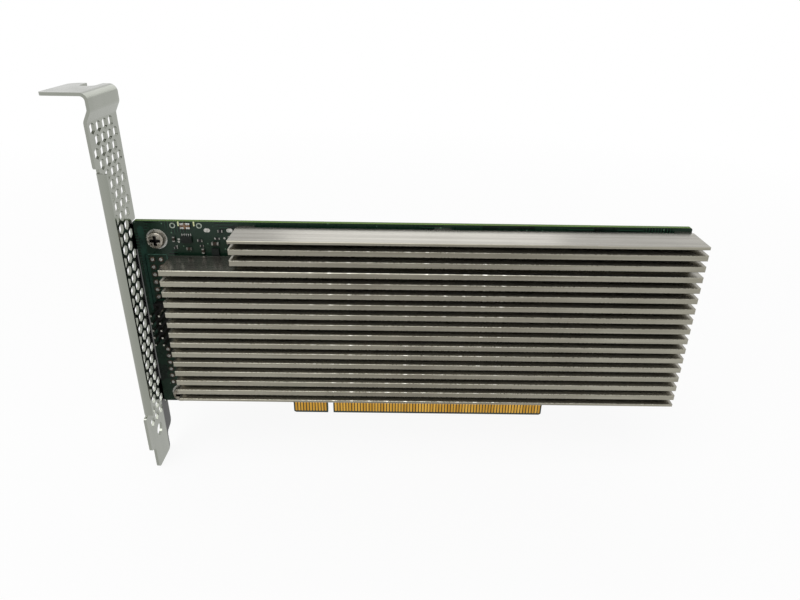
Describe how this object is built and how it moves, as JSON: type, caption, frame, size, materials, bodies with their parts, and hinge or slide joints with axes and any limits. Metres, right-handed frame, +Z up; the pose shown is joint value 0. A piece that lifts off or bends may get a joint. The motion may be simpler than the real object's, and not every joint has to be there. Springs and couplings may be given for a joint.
{
  "type": "passive accelerator card",
  "caption": "Passively cooled low-profile server accelerator card with a lengthwise-finned aluminium heat sink, a sixteen-lane edge connector and a full-height vented bracket.",
  "frame": {"origin": "middle of the key notch of the edge connector, on the board's mid-plane and level with the board's lower edge where the contact tab leaves it", "axes": "+X along the card from the bracket towards its far end, +Y out of the solder side so that the heat sink is on the -Y side, +Z up out of the slot"},
  "size_m": [0.1786, 0.0185, 0.1222],
  "materials": {
    "bracket_steel": "nickel-plated sheet, satin, mirrors dark things near it",
    "board_laminate": "green solder mask over glass laminate, semi-gloss",
    "contact_gold": "hard gold plating, polished",
    "sink_aluminium": "mill-finished extrusion with machined, lengthwise-brushed faces",
    "screw_steel": "zinc-plated steel, satin",
    "spring_steel": "stamped spring steel, satin",
    "insulating_film": "black foam-backed insulating film, matt",
    "tinned_copper": "tinned copper, soft satin",
    "solder": "lead-free solder, slightly frosted",
    "chip_mould": "black epoxy moulding compound, fine matt",
    "capacitor_mould": "black moulded resin, matt",
    "chip_ceramic": "tan-brown fired ceramic, dull",
    "resistor_film": "black glazed resistor film",
    "inductor_iron": "pressed iron powder, dark grey and slightly rough",
    "crystal_can": "nickel-plated lid, satin",
    "substrate_laminate": "green package substrate, semi-gloss",
    "die_silicon": "polished silicon back",
    "thermal_paste": "grey thermal compound, matt",
    "thermal_pad": "grey-blue silicone gap pad, matt",
    "header_plastic": "black glass-filled nylon, matt",
    "indicator_lens": "amber-brown clear resin"
  },
  "bodies": {
    "root": {"bracket": "bracket_steel", "circuit_board": "board_laminate", "contacts_component_side": "contact_gold", "contacts_solder_side": "contact_gold", "heat_sink": "sink_aluminium", "bracket_screws": "screw_steel", "screw_pads": "tinned_copper", "heat_sink_screws": "screw_steel", "spring_screws": "screw_steel", "spring_plate": "spring_steel", "spring_cushion": "insulating_film", "decoupling_capacitors": "chip_ceramic", "memory_chips": "chip_mould", "memory_pads": "thermal_pad", "power_inductors": "inductor_iron", "power_stages": "chip_mould", "power_stage_pads": "thermal_pad", "bulk_capacitors": "capacitor_mould", "voltage_controller": "chip_mould", "boot_memory": "chip_mould", "clock_crystal": "crystal_can", "processor_substrate": "substrate_laminate", "processor_die": "die_silicon", "thermal_compound": "thermal_paste", "header_body": "header_plastic", "header_pins": "contact_gold", "header_solder": "solder", "solder_pads": "solder", "indicator_body": "indicator_lens", "indicator_terminals": "solder", "sensor_chip": "chip_mould", "sensor_leads": "solder", "interface_chip": "chip_mould", "chip_capacitors": "chip_ceramic", "chip_resistors": "resistor_film", "chip_terminals": "solder", "test_pads": "tinned_copper"}
  },
  "joints": []
}
